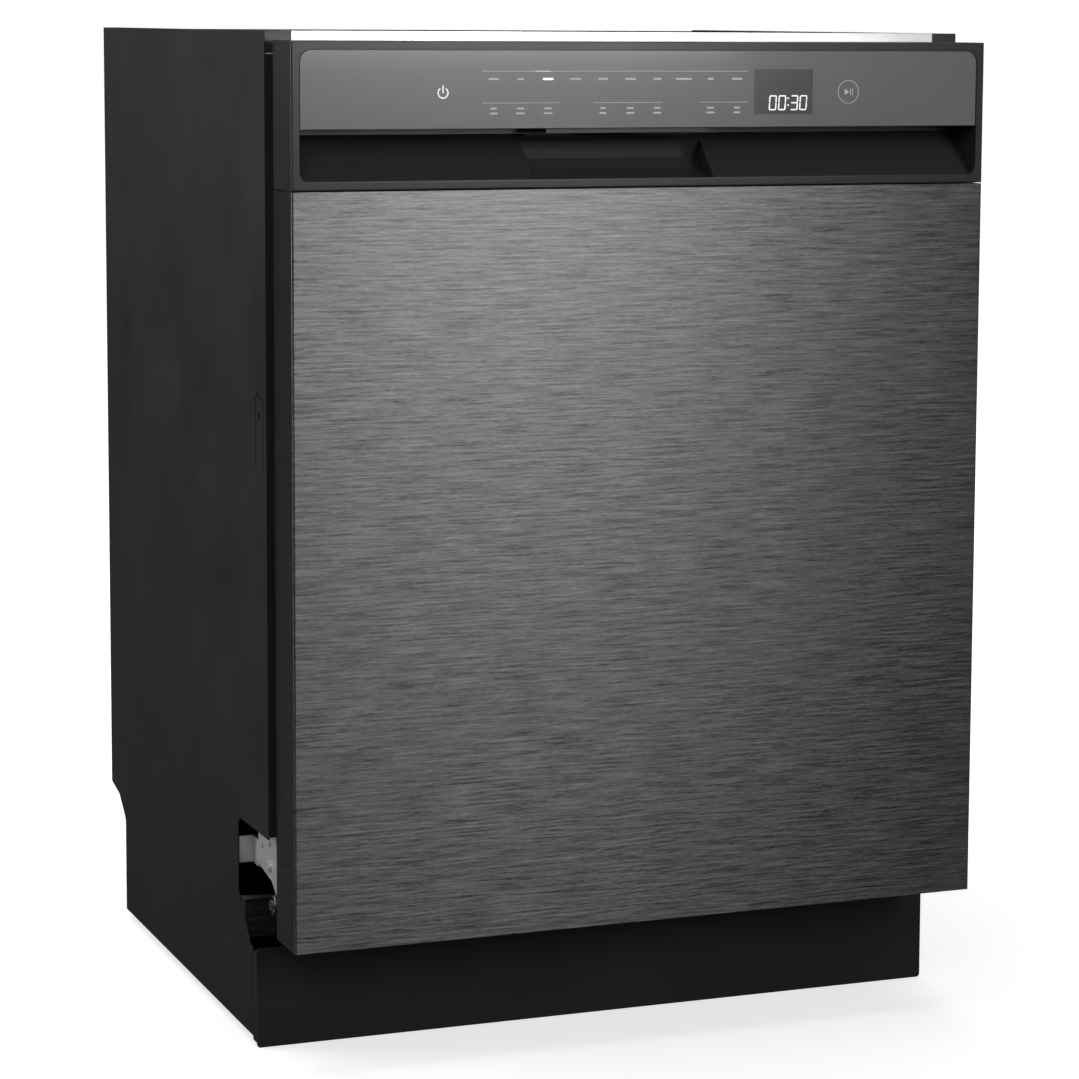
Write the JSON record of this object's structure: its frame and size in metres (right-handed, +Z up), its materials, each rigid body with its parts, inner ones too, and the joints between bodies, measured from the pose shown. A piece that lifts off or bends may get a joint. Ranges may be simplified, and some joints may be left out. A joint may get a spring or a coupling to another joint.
{
  "type": "built in dishwasher",
  "caption": "Built-under dishwasher with a drop-down counterbalanced door, recessed pocket handle, touch console, racks, spray arms, filter and levelling feet.",
  "frame": {"origin": "on the floor, at the middle of the bounding box", "axes": "+X to the right as seen from the front, -Y out of the door, +Z up"},
  "size_m": [0.598, 0.586, 0.818],
  "materials": {
    "base_plastic": "black filled polypropylene",
    "black_plastic": "semi-gloss black moulding",
    "brushed_dark_steel": "dark stainless, brushed from side to side",
    "circuit_board": "printed circuit board",
    "console_grey_glass": "grey back-printed console panel",
    "display_smoke": "smoked display window",
    "galvanised_steel": "bright galvanised sheet",
    "grey_plastic": "light grey polypropylene",
    "matte_black_plastic": "fine matt grain",
    "painted_black_steel": "satin black paint on sheet steel",
    "pin_steel": "hardened steel, dull",
    "rack_wire": "grey nylon-coated wire",
    "seal_rubber": "soft extruded seal",
    "sound_pad": "bitumen and felt pad",
    "spring_steel": "oil-darkened spring wire",
    "tub_steel": "bright rolled stainless",
    "white_plastic": "off-white polypropylene",
    "zinc_steel": "zinc plated"
  },
  "bodies": {
    "cabinet": {"left_side_panel": "painted_black_steel", "right_side_panel": "painted_black_steel", "rear_cover": "painted_black_steel", "top_front_rail": "galvanised_steel", "top_corner_blocks": "black_plastic", "base_tray": "base_plastic", "kick_plate": "painted_black_steel", "lower_front_brace": "brushed_dark_steel", "tub_wrapper": "tub_steel", "tub_back_wall": "tub_steel", "tub_front_frame": "painted_black_steel", "tub_floor": "tub_steel", "tub_gasket": "seal_rubber", "sump": "grey_plastic", "circulation_pump": "matte_black_plastic", "drain_pump": "matte_black_plastic", "spray_manifold": "grey_plastic", "filter_plate": "tub_steel", "rack_rail_tracks": "galvanised_steel", "door_striker": "zinc_steel", "inlet_valve": "white_plastic", "drain_spigot": "matte_black_plastic", "mains_terminal_box": "matte_black_plastic", "hinge_pins": "pin_steel", "hinge_brackets": "zinc_steel", "door_torsion_springs": "spring_steel"},
    "door": {"door_outer_panel": "brushed_dark_steel", "control_fascia": "black_plastic", "console_glass": "console_grey_glass", "display_window": "display_smoke", "handle_pocket": "black_plastic", "door_inner_liner": "tub_steel", "door_sound_pad": "sound_pad", "control_board": "circuit_board", "latch_housing": "matte_black_plastic", "dispenser_body": "grey_plastic", "hinge_arms": "zinc_steel", "door_lower_seal": "seal_rubber"},
    "latch_lever": {"latch_release_lever": "black_plastic"},
    "latch_claw": {"latch_claw": "matte_black_plastic"},
    "dispenser_lid": {"dispenser_lid": "grey_plastic"},
    "rinse_aid_cap": {"rinse_aid_cap": "white_plastic"},
    "rail_slides": {"rack_rail_slides": "galvanised_steel"},
    "upper_rack": {"upper_rack": "rack_wire", "upper_rack_runners": "grey_plastic", "upper_rack_handle": "grey_plastic", "upper_feed_tube": "grey_plastic"},
    "cup_shelf": {"cup_shelf": "grey_plastic"},
    "upper_spray_arm": {"upper_spray_arm": "tub_steel"},
    "lower_rack": {"lower_rack": "rack_wire", "lower_rack_handle": "grey_plastic", "cutlery_basket": "grey_plastic"},
    "front_wheels": {"lower_rack_front_wheels": "grey_plastic"},
    "rear_wheels": {"lower_rack_rear_wheels": "grey_plastic"},
    "lower_spray_arm": {"lower_spray_arm": "tub_steel"},
    "filter_cylinder": {"filter_cylinder": "grey_plastic"},
    "front_left_foot": {"front_left_foot": "zinc_steel"},
    "front_right_foot": {"front_right_foot": "zinc_steel"},
    "rear_left_foot": {"rear_left_foot": "zinc_steel"},
    "rear_right_foot": {"rear_right_foot": "zinc_steel"}
  },
  "joints": [
    {"name": "door_hinge", "type": "hinge", "parent": "cabinet", "child": "door", "pos_m": [0, -0.231, 0.126], "axis": [1, 0, 0], "range_deg": [0, 90], "stiffness_Nm_per_rad": 14},
    {"name": "latch_lever_pull", "type": "hinge", "parent": "door", "child": "latch_lever", "pos_m": [0, -0.253, 0.743], "axis": [-1, 0, 0], "range_deg": [0, 10], "stiffness_Nm_per_rad": 0.4},
    {"name": "latch_claw_turn", "type": "hinge", "parent": "door", "child": "latch_claw", "pos_m": [0, -0.266, 0.779], "axis": [1, 0, 0], "range_deg": [0, 10]},
    {"name": "dispenser_lid_slide", "type": "slide", "parent": "door", "child": "dispenser_lid", "axis": [-1, 0, 0], "range_m": [0, 0.07]},
    {"name": "rinse_aid_cap_turn", "type": "hinge", "parent": "door", "child": "rinse_aid_cap", "pos_m": [0.063, -0.24, 0.445], "axis": [0, -1, 0], "range_deg": [0, 90]},
    {"name": "rail_extend", "type": "slide", "parent": "cabinet", "child": "rail_slides", "axis": [0, -1, 0], "range_m": [0, 0.22]},
    {"name": "upper_rack_slide", "type": "slide", "parent": "cabinet", "child": "upper_rack", "axis": [0, -1, 0], "range_m": [0, 0.44]},
    {"name": "cup_shelf_fold", "type": "hinge", "parent": "upper_rack", "child": "cup_shelf", "pos_m": [-0.226, 0.007, 0.56], "axis": [0, -1, 0], "range_deg": [0, 75]},
    {"name": "upper_spray_spin", "type": "hinge", "parent": "upper_rack", "child": "upper_spray_arm", "pos_m": [0, 0.022, 0.447], "axis": [0, 0, 1], "continuous": true},
    {"name": "lower_rack_slide", "type": "slide", "parent": "cabinet", "child": "lower_rack", "axis": [0, -1, 0], "range_m": [0, 0.09]},
    {"name": "front_wheels_roll", "type": "hinge", "parent": "lower_rack", "child": "front_wheels", "pos_m": [0, -0.161, 0.1685], "axis": [1, 0, 0], "range_deg": [0, 287]},
    {"name": "rear_wheels_roll", "type": "hinge", "parent": "lower_rack", "child": "rear_wheels", "pos_m": [0, 0.207, 0.1685], "axis": [1, 0, 0], "range_deg": [0, 287]},
    {"name": "lower_spray_spin", "type": "hinge", "parent": "cabinet", "child": "lower_spray_arm", "pos_m": [0, 0.022, 0.173], "axis": [0, 0, 1], "continuous": true},
    {"name": "filter_twist", "type": "hinge", "parent": "cabinet", "child": "filter_cylinder", "pos_m": [0.12, -0.053, 0.115], "axis": [0, 0, 1], "range_deg": [0, 90]},
    {"name": "front_left_foot_screw", "type": "slide", "parent": "cabinet", "child": "front_left_foot", "axis": [0, 0, -1], "range_m": [0, 0.04]},
    {"name": "front_right_foot_screw", "type": "slide", "parent": "cabinet", "child": "front_right_foot", "axis": [0, 0, -1], "range_m": [0, 0.04]},
    {"name": "rear_left_foot_screw", "type": "slide", "parent": "cabinet", "child": "rear_left_foot", "axis": [0, 0, -1], "range_m": [0, 0.04]},
    {"name": "rear_right_foot_screw", "type": "slide", "parent": "cabinet", "child": "rear_right_foot", "axis": [0, 0, -1], "range_m": [0, 0.04]}
  ],
  "couplings": [
    {"joint": "latch_claw_turn", "follows": "latch_lever_pull", "ratio": 1},
    {"joint": "rail_extend", "follows": "door_hinge", "m_per_rad": 0.14006},
    {"joint": "upper_rack_slide", "follows": "door_hinge", "m_per_rad": 0.28011},
    {"joint": "lower_rack_slide", "follows": "door_hinge", "m_per_rad": 0.057296},
    {"joint": "front_wheels_roll", "follows": "door_hinge", "ratio": 3.1831},
    {"joint": "rear_wheels_roll", "follows": "door_hinge", "ratio": 3.1831}
  ]
}
